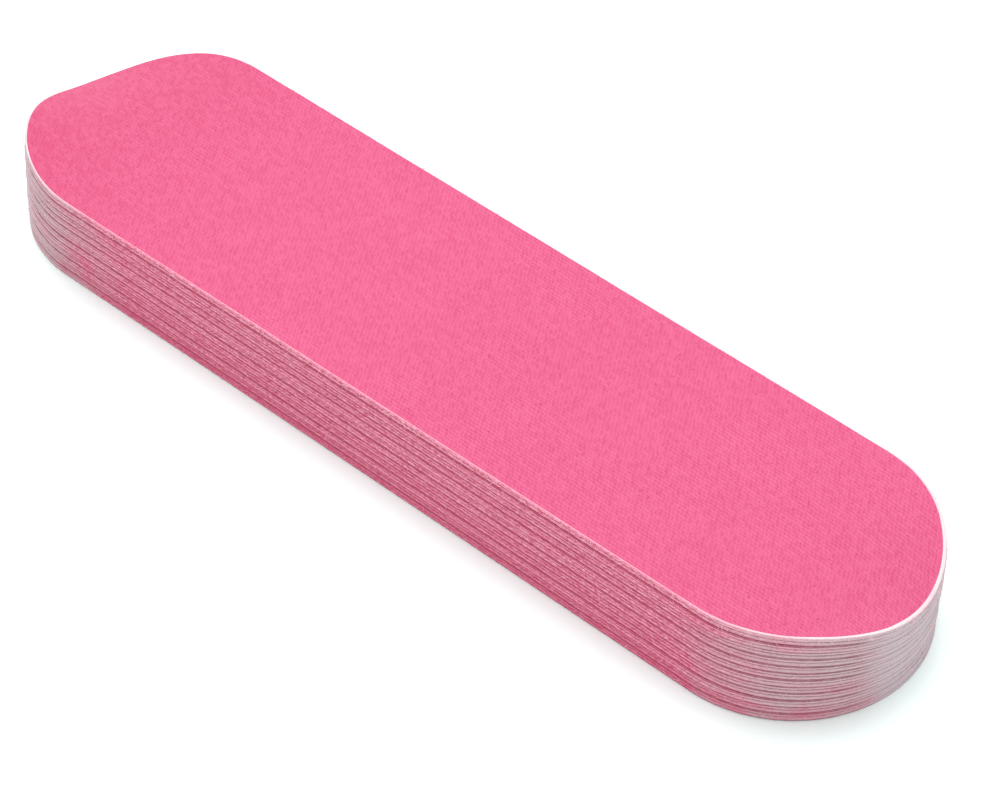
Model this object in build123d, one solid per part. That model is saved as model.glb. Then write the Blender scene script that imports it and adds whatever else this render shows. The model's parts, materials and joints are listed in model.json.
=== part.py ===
from build123d import *
import math
import os

# A block of twelve nail-buffing pads, stacked flat on one another. Each pad is a long strip with
# full round ends, die-cut from a laminate of two plies:
#   backing   the white foam underneath, which gives the pad its spring
#   cloth     the pink woven buffing cloth bonded to the top of the foam
# The pads are loose: pad_01 lies on the table and every other pad lifts off the one below it.
#
# Frame: +X along the pads, +Y across them, +Z up. The origin is at the centre of the block's
# footprint, on the table. Millimetres.

PAD_COUNT = 12
LENGTH = 100.0
WIDTH = 25.0

BACKING_THICKNESS = 0.45
CLOTH_THICKNESS = 0.35
PAD_THICKNESS = BACKING_THICKNESS + CLOTH_THICKNESS
CLOTH_INSET = 0.05  # how far the cloth's edge stands in from the foam's

# How the loose pads sit: the block leans a little towards +X, and each pad is a little off the
# middle and askew.
LEAN = 0.4
STRAY_X = 0.05
STRAY_Y = 0.05
STRAY_TURN = 0.04  # degrees
# A turn of the golden angle from pad to pad, so that neighbouring pads never stray alike.
STRAY_STEP = math.pi * (3 - math.sqrt(5))


def pad_place(level):
    """Where the pad at this level lies, with level 0 on the table."""
    phase = STRAY_STEP * level
    x = LEAN * (level / (PAD_COUNT - 1) - 0.5) + STRAY_X * math.cos(phase)
    y = STRAY_Y * math.sin(phase)
    turn = STRAY_TURN * math.sin(2 * phase + 1)
    return Pos(x, y, level * PAD_THICKNESS) * Rot(0, 0, turn)


def ply(thickness, inset, bottom):
    """One ply of a pad: the pad's round-ended outline, set in by inset, raised from bottom."""
    outline = SlotOverall(LENGTH - 2 * inset, WIDTH - 2 * inset)
    return Pos(0, 0, bottom) * extrude(outline, thickness)


def block():
    """Both plies of every pad, by node name."""
    nodes = {}
    for level in range(PAD_COUNT):
        place = pad_place(level)
        name = f"pad_{level + 1:02d}"
        nodes[f"{name}_backing"] = place * ply(BACKING_THICKNESS, 0, 0)
        nodes[f"{name}_cloth"] = place * ply(
            CLOTH_THICKNESS, CLOTH_INSET, BACKING_THICKNESS
        )
    return nodes


def footprint_middle(solids):
    """The middle, seen from above, of the box that holds all the solids."""
    boxes = [solid.bounding_box() for solid in solids]
    x = (min(box.min.X for box in boxes) + max(box.max.X for box in boxes)) / 2
    y = (min(box.min.Y for box in boxes) + max(box.max.Y for box in boxes)) / 2
    return x, y


os.makedirs("parts", exist_ok=True)
nodes = block()
middle_x, middle_y = footprint_middle(nodes.values())
for node, solid in nodes.items():
    export_step(Pos(-middle_x, -middle_y, 0) * solid, f"parts/{node}.step")
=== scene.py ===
"""Looks for the nail buffer pad block: twelve loose pads of pink woven cloth on white foam."""

import json
import math

import bmesh
import bpy
import numpy as np
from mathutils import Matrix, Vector
from mathutils.noise import noise, seed_set

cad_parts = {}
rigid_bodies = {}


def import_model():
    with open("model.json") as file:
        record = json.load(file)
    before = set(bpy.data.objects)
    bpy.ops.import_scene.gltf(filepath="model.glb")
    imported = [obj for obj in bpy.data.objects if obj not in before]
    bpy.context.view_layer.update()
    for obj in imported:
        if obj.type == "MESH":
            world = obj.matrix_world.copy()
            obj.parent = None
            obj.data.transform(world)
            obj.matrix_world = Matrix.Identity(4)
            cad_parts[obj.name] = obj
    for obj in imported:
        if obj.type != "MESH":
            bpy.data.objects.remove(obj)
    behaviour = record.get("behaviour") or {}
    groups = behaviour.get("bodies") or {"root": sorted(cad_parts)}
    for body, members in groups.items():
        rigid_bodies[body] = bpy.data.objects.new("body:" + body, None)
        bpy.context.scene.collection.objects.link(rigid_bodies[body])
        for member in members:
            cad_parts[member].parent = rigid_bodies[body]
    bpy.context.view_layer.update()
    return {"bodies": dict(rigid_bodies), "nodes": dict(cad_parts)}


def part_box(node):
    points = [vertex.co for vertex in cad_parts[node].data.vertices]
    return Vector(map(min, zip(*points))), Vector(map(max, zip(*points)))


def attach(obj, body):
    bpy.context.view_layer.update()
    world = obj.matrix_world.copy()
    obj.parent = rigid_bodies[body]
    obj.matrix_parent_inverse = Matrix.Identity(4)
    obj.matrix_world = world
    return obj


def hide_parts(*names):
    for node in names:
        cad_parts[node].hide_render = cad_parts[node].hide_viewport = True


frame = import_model()
seed_set(7)

MM = 0.001
LIGHT = 1.1  # how bright the studio is, against a plain white surround

# The pads, as the CAD model has them.
HALF_LENGTH, HALF_WIDTH = 50 * MM, 12.5 * MM
PAD_NAMES = sorted(frame["bodies"])

# How the soft stack has settled, as shares of its height: it stands a little higher towards +X,
# it is slightly twisted, and each end is pressed down over the last stretch, most of all at one
# place across the width.
TILT = 0.05
TWIST = 0.025
PRESS_LENGTH = 10.5 * MM
NEAR_PRESS, NEAR_PRESS_Y = 0.205, 3.4 * MM
FAR_PRESS, FAR_PRESS_Y = 0.26, 6.5 * MM
PRESS_WIDTH = 15 * MM
CURL = 0.09  # how much the stack fluffs up at its corner towards -X and -Y

# The woven face: the distance between rows, between the stitches that lean across them, how far
# they lean, and the relief.
ROW_PITCH = 0.36 * MM
STITCH_PITCH = 0.42 * MM
STITCH_SLANT = 0.62
KNIT_RELIEF = 0.02 * MM

# How unevenly the plies lie on one another at the cut edge, and how far in that fades.
EDGE_LIFT = 0.06 * MM
EDGE_LIFT_REACH = 2.5 * MM

# The loose fibres along the cut edges.
FIBRE_LENGTH = 0.85 * MM
FIBRE_RADIUS = 0.02 * MM
FIBRE_STEPS = 4

# The air between one pad and the next.
PAD_GAP = 0.015 * MM

# How ragged the die left the cut edges.
RAGGED = 0.02 * MM

# How wide a rim of a pad's face is bare of pink, on the topmost pad and on the others.
BARE_RIM = 0.26 * MM
LOWER_BARE_RIM = 0.02 * MM

# Where the cut edge turns smooth round the tip of each end, measured along a line that leans a
# little across the pad, and how much of the raggedness is gone there.
TIP_LEAN = (0.94, 0.34)
CALM_FROM, CALM_TO = 43.5 * MM, 46.5 * MM
CALM_SHARE = 0.92

# How finely the pads are divided: the spacing of points round the outline, and of rings on the
# face.
FOAM_SPACING = 0.25 * MM
CLOTH_SPACING, TOP_CLOTH_SPACING = 0.4 * MM, 0.32 * MM
RING_STEP, TOP_RING_STEP = 0.5 * MM, 0.1 * MM

# How many loose fibres each pad has.
FIBRE_COUNT, TOP_FIBRE_COUNT = 150, 900


# ---------------------------------------------------------------- shape of a pad


def pad_axis(node):
    """Middle of the node seen from above, and the angle of its long axis."""
    points = np.array([tuple(v.co)[:2] for v in frame["nodes"][node].data.vertices])
    low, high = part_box(node)
    middle = np.array([(low[0] + high[0]) / 2, (low[1] + high[1]) / 2])
    x, y = (points - middle).T
    return middle, 0.5 * math.atan2(2 * (x * y).sum(), (x * x - y * y).sum())


def outline(length, width, spacing):
    """Points round a strip with full round ends, the middle line points they shrink to, and
    the directions outward."""
    radius, reach = width / 2, (length - width) / 2
    arc_steps = int(math.pi * radius / spacing)
    side_steps = int(2 * reach / spacing)
    spine, normals = [], []
    for end in (1, -1):
        for step in range(arc_steps):
            angle = math.pi * (step / arc_steps - 0.5)
            spine.append((end * reach, 0))
            normals.append((end * math.cos(angle), end * math.sin(angle)))
        for step in range(side_steps):
            spine.append((end * reach * (1 - 2 * step / side_steps), 0))
            normals.append((0, end))
    spine, normals = np.array(spine), np.array(normals)
    return spine + radius * normals, spine, normals


def ease(value, low, high):
    """A smooth step from 0 at low to 1 at high."""
    t = np.clip((value - low) / (high - low), 0, 1)
    return t * t * (3 - 2 * t)


def settled(x, y):
    """What has become of a height at this place on the stack, as a share of it."""
    along, across = x / HALF_LENGTH, y / HALF_WIDTH
    past = np.clip((np.abs(x) - (HALF_LENGTH - PRESS_LENGTH)) / PRESS_LENGTH, 0, 1)
    middle = np.where(x > 0, NEAR_PRESS_Y, FAR_PRESS_Y)
    depth = np.where(x > 0, NEAR_PRESS, FAR_PRESS) * past**1.65
    depth = depth * np.clip(1 - ((y - middle) / PRESS_WIDTH) ** 2, 0, 1) ** 2
    curl = CURL * ease(-x, 36 * MM, 49 * MM) * ease(-y, -2 * MM, 8 * MM)
    return 1 + TILT * along - TWIST * along * across - depth + curl


def calm(x, y):
    """How smooth the cut edge is here: 1 round the tip of each end, 0 along the sides."""
    along, across = TIP_LEAN
    return ease(along * np.abs(x) + across * np.sign(x) * y, CALM_FROM, CALM_TO)


def knit(y):
    """Relief of the woven face, 0 in the furrows and 1 along the rows."""
    return np.abs(np.sin(math.pi * y / ROW_PITCH)) ** 0.7


def wander(points, size, offset):
    """Smooth noise from -1 to 1 at each point, with features of this size."""
    return np.array(
        [noise(Vector((p[0] / size, p[1] / size, offset))) for p in points]
    )


def edge_lift(points, boundary):
    """How far the cut edge rises or sinks where two plies meet; boundary 0 is the table."""
    if boundary == 0:
        return np.zeros(len(points))
    slow = wander(points, 20 * MM, 11.3 * boundary)
    quick = wander(points, 3 * MM, 5.9 * boundary + 0.5)
    return EDGE_LIFT * (slow + 0.4 * quick)


def ply(name, node, profile, face_rings, relief, spacing, boundary, dye, bare_rim=0.0):
    """A closed ply: profile lists the steps up the cut edge, from under to face. Its points carry
    what the materials need: the distance on the face from the edge, the depth in the gap between
    two plies, the width of the bare rim, and how much dye the edge has taken up."""
    face_gap = profile[-1][3]
    low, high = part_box(node)
    middle, turn = pad_axis(node)
    cos_turn, sin_turn = math.cos(turn), math.sin(turn)
    length = high[0] - low[0]
    width = (high[1] - low[1] - length * abs(sin_turn)) / (1 - abs(sin_turn))
    points, spine, normals = outline(length, width, spacing)
    half = width / 2
    rests_on_pad = boundary > 0 and boundary % 2 == 0
    under = low[2] + (PAD_GAP if rests_on_pad else 0)
    thickness = high[2] - under
    ragged = wander(points, 0.5 * MM, boundary * 3.1)
    ragged = ragged + 0.6 * wander(points, 2.5 * MM, boundary * 7.7)
    grooved = 1 - CALM_SHARE * calm(*points.T)
    under_lift, face_lift = (edge_lift(points, boundary + k) for k in (0, 1))
    rings, from_edge, in_gap = [], [], []

    def ring(inset):
        return spine + (points - spine) * (1 - np.asarray(inset) / half)[..., None]

    def put(flat, height, distance, gap=0.0):
        share = (height - under) / thickness
        lift = under_lift + (face_lift - under_lift) * np.clip(share, 0, 1)
        height = height + lift * max(0, 1 - distance / EDGE_LIFT_REACH)
        x = middle[0] + cos_turn * flat[:, 0] - sin_turn * flat[:, 1]
        y = middle[1] + sin_turn * flat[:, 0] + cos_turn * flat[:, 1]
        z = height * settled(x, y)
        rings.append(np.stack([x, y, z], axis=1))
        from_edge.append(np.full(len(x), distance))
        in_gap.append(np.full(len(x), gap))

    under_rings = (half, half * 0.5, 1.0 * MM)
    for inset in under_rings:
        put(ring(inset), np.full(len(points), under), inset)
    for inset, share, distance, gap in profile:
        flat = ring((inset + RAGGED * ragged) * grooved)
        put(flat, np.full(len(points), under + share * thickness), distance, gap)
    for inset in [*(i for i in face_rings if i < half - 0.05 * MM), half]:
        flat = ring(inset)
        height = np.full(len(points), high[2])
        if relief:
            fade = min(1, inset / (0.5 * MM))
            height = height - relief * fade * (1 - knit(flat[:, 1]))
        put(flat, height, inset, face_gap if inset < 0.2 * MM else 0)
    count = len(points)
    vertices = np.concatenate(rings)
    faces = []
    for r in range(len(rings) - 1):
        for i in range(count):
            j = (i + 1) % count
            a, b = r * count, (r + 1) * count
            faces.append((a + i, a + j, b + j, b + i))
    mesh = bpy.data.meshes.new(name)
    mesh.from_pydata(vertices.tolist(), [], faces)
    for attribute, values in (
        ("from_edge", np.concatenate(from_edge) / MM),
        ("in_gap", np.concatenate(in_gap)),
        ("bare", np.full(len(vertices), bare_rim / MM)),
        ("dye", np.full(len(vertices), dye)),
    ):
        layer = mesh.attributes.new(attribute, "FLOAT", "POINT")
        layer.data.foreach_set("value", values)
    work = bmesh.new()
    work.from_mesh(mesh)
    bmesh.ops.remove_doubles(work, verts=work.verts, dist=1e-6)
    bmesh.ops.recalc_face_normals(work, faces=work.faces)
    work.to_mesh(mesh)
    work.free()
    mesh.shade_smooth()
    piece = bpy.data.objects.new(name, mesh)
    bpy.context.collection.objects.link(piece)
    return piece


def cut_fibres(name, node, count, source):
    """Short loose fibres along the cut edge of a pad's cloth: thin three-sided curved hairs."""
    low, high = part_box(node)
    middle, _ = pad_axis(node)
    points, _, normals = outline(high[0] - low[0], high[1] - low[1], 0.1 * MM)
    vertices, faces = [], []
    for _ in range(count):
        k = source.integers(len(points))
        outward, along = Vector((*normals[k], 0)), Vector((-normals[k][1], normals[k][0], 0))
        height = low[2] + source.uniform(0.1, 1.0) * (high[2] - low[2])
        root = Vector((*(points[k] + middle), height)) - 0.1 * MM * outward
        heading = outward + source.uniform(-2.2, 2.2) * along
        heading = (heading + Vector((0, 0, source.uniform(-0.5, 0.4)))).normalized()
        bend = source.uniform(-0.9, 0.9) * along + Vector((0, 0, source.uniform(-0.9, 0.3)))
        length = source.uniform(0.25, FIBRE_LENGTH / MM) * MM
        side = heading.cross(Vector((0, 0, 1))).normalized()
        over = side.cross(heading)
        start = len(vertices)
        for step in range(FIBRE_STEPS + 1):
            share = step / FIBRE_STEPS
            centre = root + length * share * heading + 0.5 * length * share * share * bend
            thick = FIBRE_RADIUS * (1 - 0.7 * share)
            for corner in range(3):
                turn = 2 * math.pi * corner / 3
                point = centre + thick * (math.cos(turn) * side + math.sin(turn) * over)
                scale = float(settled(np.array(point.x), np.array(point.y)))
                vertices.append((point.x, point.y, max(point.z * scale, 0.01 * MM)))
        faces.append((start, start + 2, start + 1))
        for step in range(FIBRE_STEPS):
            for corner in range(3):
                a, b = start + 3 * step + corner, start + 3 * step + (corner + 1) % 3
                faces.append((a, b, b + 3, a + 3))
        tip = start + 3 * FIBRE_STEPS
        faces.append((tip, tip + 1, tip + 2))
    mesh = bpy.data.meshes.new(name)
    mesh.from_pydata(vertices, [], faces)
    piece = bpy.data.objects.new(name, mesh)
    bpy.context.collection.objects.link(piece)
    return piece


# ---------------------------------------------------------------- materials


class Nodes:
    """Short names for making shader nodes."""

    def __init__(self, name):
        self.material = bpy.data.materials.new(name)
        self.material.use_nodes = True
        self.tree = self.material.node_tree
        self.tree.nodes.clear()
        self.shader = self.tree.nodes.new("ShaderNodeBsdfPrincipled")
        out = self.tree.nodes.new("ShaderNodeOutputMaterial")
        self.tree.links.new(self.shader.outputs["BSDF"], out.inputs["Surface"])

    def link(self, source, target):
        self.tree.links.new(source, target)

    def put(self, socket, value):
        if isinstance(value, bpy.types.NodeSocket):
            self.link(value, socket)
        else:
            socket.default_value = value

    def math(self, operation, a, b=0.0, clamp=False):
        node = self.tree.nodes.new("ShaderNodeMath")
        node.operation, node.use_clamp = operation, clamp
        self.put(node.inputs[0], a)
        self.put(node.inputs[1], b)
        return node.outputs[0]

    def place(self):
        """Position on the object, in millimetres, as (x, y, z) sockets and as a vector."""
        where = self.tree.nodes.new("ShaderNodeTexCoord").outputs["Object"]
        scale = self.tree.nodes.new("ShaderNodeVectorMath")
        scale.operation = "SCALE"
        self.link(where, scale.inputs[0])
        scale.inputs["Scale"].default_value = 1 / MM
        split = self.tree.nodes.new("ShaderNodeSeparateXYZ")
        self.link(scale.outputs[0], split.inputs[0])
        return scale.outputs[0], split.outputs

    def noise(self, vector, scale, detail=2.0, stretch=(1, 1, 1)):
        mapping = self.tree.nodes.new("ShaderNodeMapping")
        self.link(vector, mapping.inputs["Vector"])
        mapping.inputs["Scale"].default_value = stretch
        node = self.tree.nodes.new("ShaderNodeTexNoise")
        self.link(mapping.outputs[0], node.inputs["Vector"])
        node.inputs["Scale"].default_value = scale
        node.inputs["Detail"].default_value = detail
        return node.outputs["Fac"]

    def range(self, value, low, high, to_low=0.0, to_high=1.0, smooth=False):
        node = self.tree.nodes.new("ShaderNodeMapRange")
        node.interpolation_type = "SMOOTHSTEP" if smooth else "LINEAR"
        self.put(node.inputs["Value"], value)
        for key, amount in zip(
            ("From Min", "From Max", "To Min", "To Max"), (low, high, to_low, to_high)
        ):
            self.put(node.inputs[key], amount)
        return node.outputs["Result"]

    def mix(self, share, a, b):
        node = self.tree.nodes.new("ShaderNodeMix")
        node.data_type = "RGBA"
        self.put(node.inputs[0], share)
        self.put(node.inputs[6], a)
        self.put(node.inputs[7], b)
        return node.outputs[2]

    def attribute(self, name):
        node = self.tree.nodes.new("ShaderNodeAttribute")
        node.attribute_name = name
        return node.outputs["Fac"]

    def matte(self):
        self.shader.inputs["Roughness"].default_value = 0.9
        self.shader.inputs["Specular IOR Level"].default_value = 0.2

    def bump(self, height):
        node = self.tree.nodes.new("ShaderNodeBump")
        node.inputs["Strength"].default_value = 0.7
        node.inputs["Distance"].default_value = 0.05 * MM
        self.link(height, node.inputs["Height"])
        self.link(node.outputs[0], self.shader.inputs["Normal"])


def rgb(red, green, blue):
    """A colour given as it looks on a screen, 0 to 255, in the shader's linear units, and
    darkened because the studio light is brighter than white."""

    def linear(value):
        value /= 255
        value = value / 12.92 if value <= 0.04045 else ((value + 0.055) / 1.055) ** 2.4
        return value / LIGHT

    return (linear(red), linear(green), linear(blue), 1.0)


# The topmost face, from furrow to row, with painted shade in the furrows and a far end painted
# deeper in shade, light stitches and dark specks.
PINK, LIGHT_PINK = rgb(207, 84, 125), rgb(211, 89, 131)
FAR_END_SHADE = rgb(198, 68, 108)
FURROW_SHADE = rgb(190, 68, 108)
LIGHT_STITCH = rgb(222, 112, 150)
SPECK = rgb(160, 52, 86)

# The cut edges, as (light, dark) fibres along the sides, then (pale, shade) round the ends.
CLOTH_EDGE = (rgb(242, 160, 182), rgb(202, 90, 120), rgb(206, 180, 184), rgb(178, 142, 152))
FOAM_EDGE = (rgb(238, 158, 180), rgb(198, 92, 120), rgb(202, 176, 180), rgb(174, 140, 150))
DYED = rgb(206, 76, 116)
# The dark lines in the gaps between plies, along the sides and round the ends: painted shade,
# over the deep pink of the cloth's own cut edge.
SIDE_GAP_SHADE, END_GAP_SHADE = rgb(160, 48, 80), rgb(134, 76, 92)
WHITE_RIM = rgb(228, 208, 212)

# A greyer colour on the smooth tips of the ends of the stack, and painted light that makes the
# cut edge paler towards the -X tip.
TIP_GREY = rgb(184, 175, 183)
FAR_TIP_LIT = rgb(214, 194, 199)

LINT, PINK_LINT = rgb(238, 206, 212), rgb(214, 120, 150)
FLOOR_TONES = (0.85, 0.96, 0.94, 1), (0.87, 0.975, 0.955, 1)


def knit_height(n, vector, x, y):
    """Short slanted stitches in rows, as a height from 0 to about 1, and a random value for
    each stitch."""
    row = n.math("DIVIDE", y, ROW_PITCH / MM)
    ridge = n.math("SINE", n.math("MULTIPLY", n.math("FRACT", row), math.pi))
    slanted = n.math("ADD", x, n.math("MULTIPLY", y, STITCH_SLANT))
    along = n.math("DIVIDE", slanted, STITCH_PITCH / MM)
    along = n.math("ADD", along, n.range(n.noise(vector, 1.3, 2.0), 0, 1, -0.8, 0.8))
    stitch = n.range(n.math("COSINE", n.math("MULTIPLY", along, 2 * math.pi)), -1, 1, 0, 1)
    cell = n.tree.nodes.new("ShaderNodeCombineXYZ")
    n.link(n.math("FLOOR", row), cell.inputs[0])
    n.link(n.math("FLOOR", along), cell.inputs[1])
    random = n.tree.nodes.new("ShaderNodeTexWhiteNoise")
    random.noise_dimensions = "2D"
    n.link(cell.outputs[0], random.inputs["Vector"])
    share = n.range(n.noise(vector, 0.06, 1.0), 0.4, 0.6, 0.1, 0.6)
    rows = n.math("MULTIPLY", n.math("SUBTRACT", ridge, 0.64), share)
    height = n.math("ADD", n.math("ADD", rows, 0.35), n.math("MULTIPLY", stitch, 0.45))
    return height, random.outputs["Value"]


def cut_edge(n, vector, x, y, light, dark, pale, shade):
    """Colour of a cut edge: pink and fibrous along the sides, pale and cleaner round the ends,
    and darker in the gaps between plies, painted shade over the cloth edge's own pink. Also how
    much it is part of an end, how smooth it is, and the height of the fibres."""
    end = n.range(n.math("ABSOLUTE", n.math("SUBTRACT", x, 2.5)), 30.0, 46.0, smooth=True)
    patch = n.noise(vector, 0.22, 2.0, (1, 1, 2.2))
    patch = n.math("MULTIPLY", n.range(patch, 0.42, 0.72), n.attribute("dye"))
    end = n.math("SUBTRACT", end, n.math("MULTIPLY", patch, 0.7), clamp=True)
    lean = n.math("MULTIPLY", n.math("SIGN", x), n.math("MULTIPLY", y, TIP_LEAN[1]))
    tip = n.math("ADD", n.math("MULTIPLY", n.math("ABSOLUTE", x), TIP_LEAN[0]), lean)
    clean = n.range(tip, CALM_FROM / MM, CALM_TO / MM, smooth=True)
    fibres = n.noise(vector, 5.5, 3.0, (0.5, 1.0, 2.2))
    side = n.mix(n.range(fibres, 0.38, 0.62), light, dark)
    side = n.mix(n.range(n.attribute("dye"), 0.5, 1.0, 0.0, 0.5), side, DYED)
    ashen = n.mix(n.range(fibres, 0.35, 0.65, 0.0, 0.5), pale, shade)
    colour = n.mix(end, side, ashen)
    # A greyer colour round the smooth tips of the ends.
    colour = n.mix(clean, colour, n.mix(n.range(fibres, 0.3, 0.7), pale, TIP_GREY))
    # Painted light: the cut edge is drawn paler towards the -X tip.
    colour = n.mix(n.range(x, -50.0, -36.0, 0.45, 0.0), colour, FAR_TIP_LIT)
    # Painted shade in the gaps between plies where in_gap is high, broken by noise and fading
    # round the smooth tips.
    gap_shade = n.mix(end, SIDE_GAP_SHADE, END_GAP_SHADE)
    broken = n.range(n.noise(vector, 1.2, 3.0, (1, 1, 2)), 0.3, 0.6, 0.6, 1.0)
    shown = n.math("MULTIPLY", n.attribute("in_gap"), broken)
    shown = n.math("MULTIPLY", shown, n.range(clean, 0.0, 1.0, 0.95, 0.06))
    return n.mix(shown, colour, gap_shade), end, clean, fibres


def cloth_material():
    n = Nodes("pink_cloth")
    vector, (x, y, _) = n.place()
    warp = n.noise(vector, 0.5, 2.0)
    swayed = n.math("ADD", y, n.range(warp, 0, 1, -0.15, 0.15))
    stitches, each = knit_height(n, vector, x, swayed)
    fluff = n.noise(vector, 4.5, 3.0)
    height = n.math("ADD", n.math("MULTIPLY", fluff, 0.4), stitches)
    blotch = n.noise(vector, 0.16, 2.0)
    pink = n.mix(n.range(blotch, 0.3, 0.7), PINK, LIGHT_PINK)
    # Painted shade: the face is drawn deeper pink towards the far end, where it tilts down.
    pink = n.mix(n.range(x, -50.0, -25.0, 0.9, 0.0), pink, FAR_END_SHADE)
    # Painted shade: the face darkens towards the furrows, where the knit height is low.
    face = n.mix(n.range(height, 0.3, 1.1), FURROW_SHADE, pink)
    face = n.mix(n.range(each, 0.0, 1.0, 0.0, 0.3), face, LIGHT_STITCH)
    speck = n.noise(vector, 4.5, 1.0)
    face = n.mix(n.range(speck, 0.64, 0.76, 0.0, 0.7), face, SPECK)
    side, end, clean, _ = cut_edge(n, vector, x, y, *CLOTH_EDGE)
    edge = n.attribute("from_edge")
    side = n.mix(n.range(edge, 0.0, 0.05), side, n.mix(end, CLOTH_EDGE[0], WHITE_RIM))
    bare = n.math("MULTIPLY", n.attribute("bare"), n.range(end, 0.0, 1.0, 0.45, 1.0))
    bare = n.math("MAXIMUM", bare, n.math("MULTIPLY", clean, 0.3))
    bare = n.math("MULTIPLY", bare, n.range(x, -50.0, 0.0, 0.5, 1.0))
    rim = n.range(n.math("SUBTRACT", edge, bare), 0.0, 0.05, smooth=True)
    n.link(n.mix(rim, side, face), n.shader.inputs["Base Color"])
    n.matte()
    n.shader.inputs["Sheen Weight"].default_value = 0.1
    n.shader.inputs["Sheen Roughness"].default_value = 0.6
    n.bump(height)
    return n.material


def foam_material():
    n = Nodes("white_foam")
    vector, (x, y, _) = n.place()
    colour, _, _, fibres = cut_edge(n, vector, x, y, *FOAM_EDGE)
    n.link(colour, n.shader.inputs["Base Color"])
    n.matte()
    n.bump(fibres)
    return n.material


def lint_material():
    n = Nodes("lint")
    vector, _ = n.place()
    tone = n.range(n.noise(vector, 1.3, 2.0), 0.35, 0.65)
    n.link(n.mix(tone, LINT, PINK_LINT), n.shader.inputs["Base Color"])
    n.matte()
    return n.material


# ---------------------------------------------------------------- the pads

lint_look = lint_material()
fibre_source = np.random.default_rng(11)
cloth_look = cloth_material()
foam_look = foam_material()

# Up the cut edge of a ply: how far in it stands, its share of the thickness, how much of that
# is on the face, and how deep it is in the gap between two plies, from 0 to 1.
FOAM_PROFILE = (
    (0.12 * MM, 0.00, 0, 1.0),
    (0.07 * MM, 0.10, 0, 1.0),
    (0.03 * MM, 0.24, 0, 1.0),
    (0.00 * MM, 0.40, 0, 0.45),
    (0.00 * MM, 0.56, 0, 0.0),
    (0.00 * MM, 0.80, 0, 0.0),
    (0.03 * MM, 0.92, 0, 0.15),
    (0.06 * MM, 1.00, 0, 0.35),
)
CLOTH_PROFILE = (
    (0.06 * MM, 0.00, 0, 0.35),
    (0.03 * MM, 0.10, 0, 0.15),
    (0.00 * MM, 0.24, 0, 0.0),
    (0.00 * MM, 0.48, 0, 0.0),
    (0.01 * MM, 0.66, 0, 0.55),
    (0.03 * MM, 0.80, 0, 1.0),
    (0.06 * MM, 0.92, 0.01 * MM, 1.0),
    (0.10 * MM, 0.98, 0.05 * MM, 1.0),
)
# The topmost cloth lies open: no pad casts its gap on it.
TOP_CLOTH_PROFILE = [(*step[:3], 0.0 if step[1] > 0.5 else step[3]) for step in CLOTH_PROFILE]

# How much pink dye and lint each pad's cut edge has taken up: the lowest ones have the most.
dye = [0.5 + 0.5 * noise(Vector((1.7 * level, 0.3, 0))) for level in range(len(PAD_NAMES))]
dye[0], dye[1] = 1.0, 0.85

for level, pad in enumerate(PAD_NAMES):
    top = level == len(PAD_NAMES) - 1
    backing_node, cloth_node = f"{pad}_backing", f"{pad}_cloth"
    foam = ply(
        f"{pad}_foam_backing",
        backing_node,
        FOAM_PROFILE,
        [1 * MM, 6 * MM],
        0,
        FOAM_SPACING,
        2 * level,
        dye[level],
    )
    step = TOP_RING_STEP if top else RING_STEP
    face_rings = [0.15 * MM, 0.2 * MM, 0.26 * MM, 0.32 * MM]
    face_rings += list(np.linspace(0.4 * MM, 12.4 * MM, int(12 * MM / step)))
    cloth = ply(
        f"{pad}_woven_cloth",
        cloth_node,
        TOP_CLOTH_PROFILE if top else CLOTH_PROFILE,
        face_rings,
        KNIT_RELIEF if top else 0,
        TOP_CLOTH_SPACING if top else CLOTH_SPACING,
        2 * level + 1,
        dye[level],
        BARE_RIM if top else LOWER_BARE_RIM,
    )
    count = TOP_FIBRE_COUNT if top else FIBRE_COUNT
    fibres = cut_fibres(f"{pad}_cut_fibres", cloth_node, count, fibre_source)
    for piece, look, slot in (
        (foam, foam_look, "white_foam"),
        (cloth, cloth_look, "pink_cloth"),
        (fibres, lint_look, "pink_cloth"),
    ):
        piece.data.materials.append(look)
        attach(piece, pad)
    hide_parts(backing_node)
    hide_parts(cloth_node)


# ---------------------------------------------------------------- floor, light, camera

KEY_PLACE, KEY_SIZE, KEY_POWER = (-0.25, 0.15, 0.85), 0.9, 5.5 * LIGHT
CAMERA_AZIMUTH, CAMERA_ELEVATION = 42.72, 44.04
CAMERA_DISTANCE, CAMERA_TARGET = 353.2 * MM, (2.6 * MM, 2.3 * MM, 0)
CAMERA_LENS = 144


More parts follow.
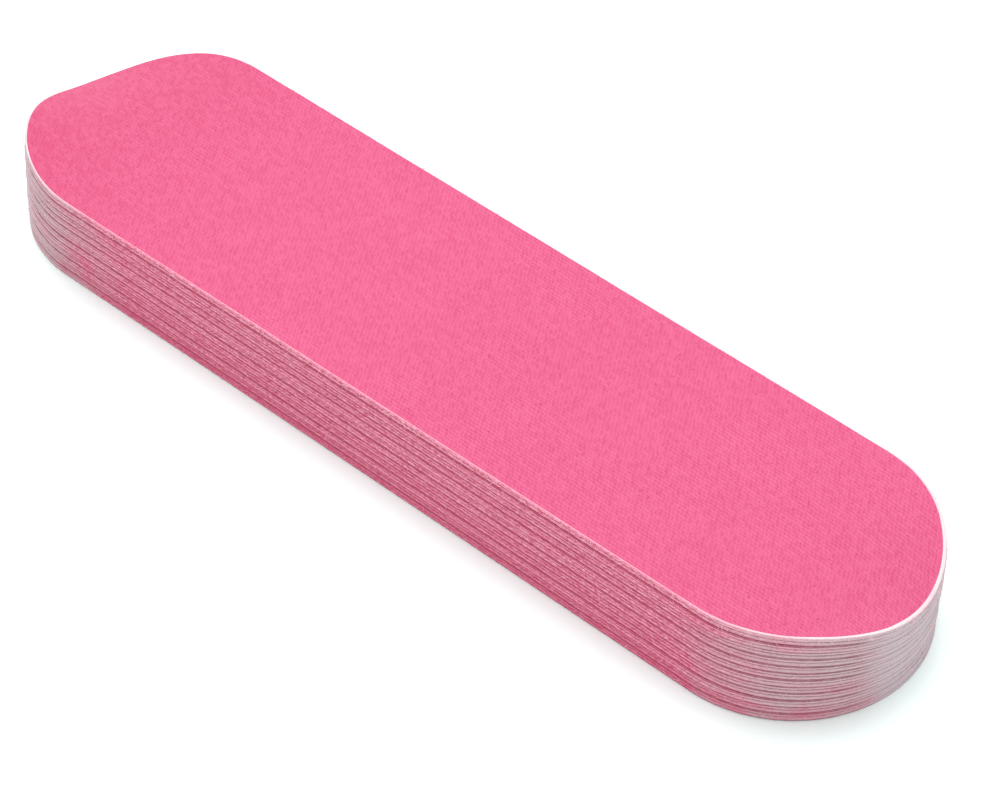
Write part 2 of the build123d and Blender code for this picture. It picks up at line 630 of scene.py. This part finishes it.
def floor():
    mesh = bpy.data.meshes.new("floor")
    reach = 3.0
    mesh.from_pydata(
        [(-reach, -reach, 0), (reach, -reach, 0), (reach, reach, 0), (-reach, reach, 0)],
        [],
        [(0, 1, 2, 3)],
    )
    plane = bpy.data.objects.new("floor", mesh)
    bpy.context.collection.objects.link(plane)
    n = Nodes("floor")
    vector, _ = n.place()
    tone = n.noise(vector, 0.02, 2.0)
    n.link(n.mix(tone, *FLOOR_TONES), n.shader.inputs["Base Color"])
    n.shader.inputs["Roughness"].default_value = 0.9
    mesh.materials.append(n.material)


def area_light(name, place, size, power):
    """A round soft light that looks at the middle of the stack."""
    light = bpy.data.lights.new(name, "AREA")
    light.shape, light.size, light.energy = "DISK", size, power
    lamp = bpy.data.objects.new(name, light)
    bpy.context.collection.objects.link(lamp)
    lamp.location = place
    lamp.rotation_mode = "QUATERNION"
    lamp.rotation_quaternion = (-Vector(place)).to_track_quat("-Z", "Y")


def world(strength):
    sky = bpy.data.worlds.new("studio")
    sky.use_nodes = True
    background = sky.node_tree.nodes["Background"]
    background.inputs["Color"].default_value = (1, 1, 1, 1)
    background.inputs["Strength"].default_value = strength
    bpy.context.scene.world = sky


def camera():
    azimuth, elevation = math.radians(CAMERA_AZIMUTH), math.radians(CAMERA_ELEVATION)
    target = Vector(CAMERA_TARGET)
    back = Vector(
        (
            math.sin(azimuth) * math.cos(elevation),
            -math.cos(azimuth) * math.cos(elevation),
            math.sin(elevation),
        )
    )
    data = bpy.data.cameras.new("camera")
    data.lens, data.sensor_width = CAMERA_LENS, 36
    data.clip_start, data.clip_end = 0.01, 10
    eye = bpy.data.objects.new("camera", data)
    bpy.context.collection.objects.link(eye)
    eye.location = target + back * CAMERA_DISTANCE
    eye.rotation_mode = "QUATERNION"
    eye.rotation_quaternion = (-back).to_track_quat("-Z", "Y")
    bpy.context.scene.camera = eye


floor()
world(LIGHT)
area_light("key", KEY_PLACE, KEY_SIZE, KEY_POWER)
camera()
bpy.context.scene.view_settings.view_transform = "Standard"
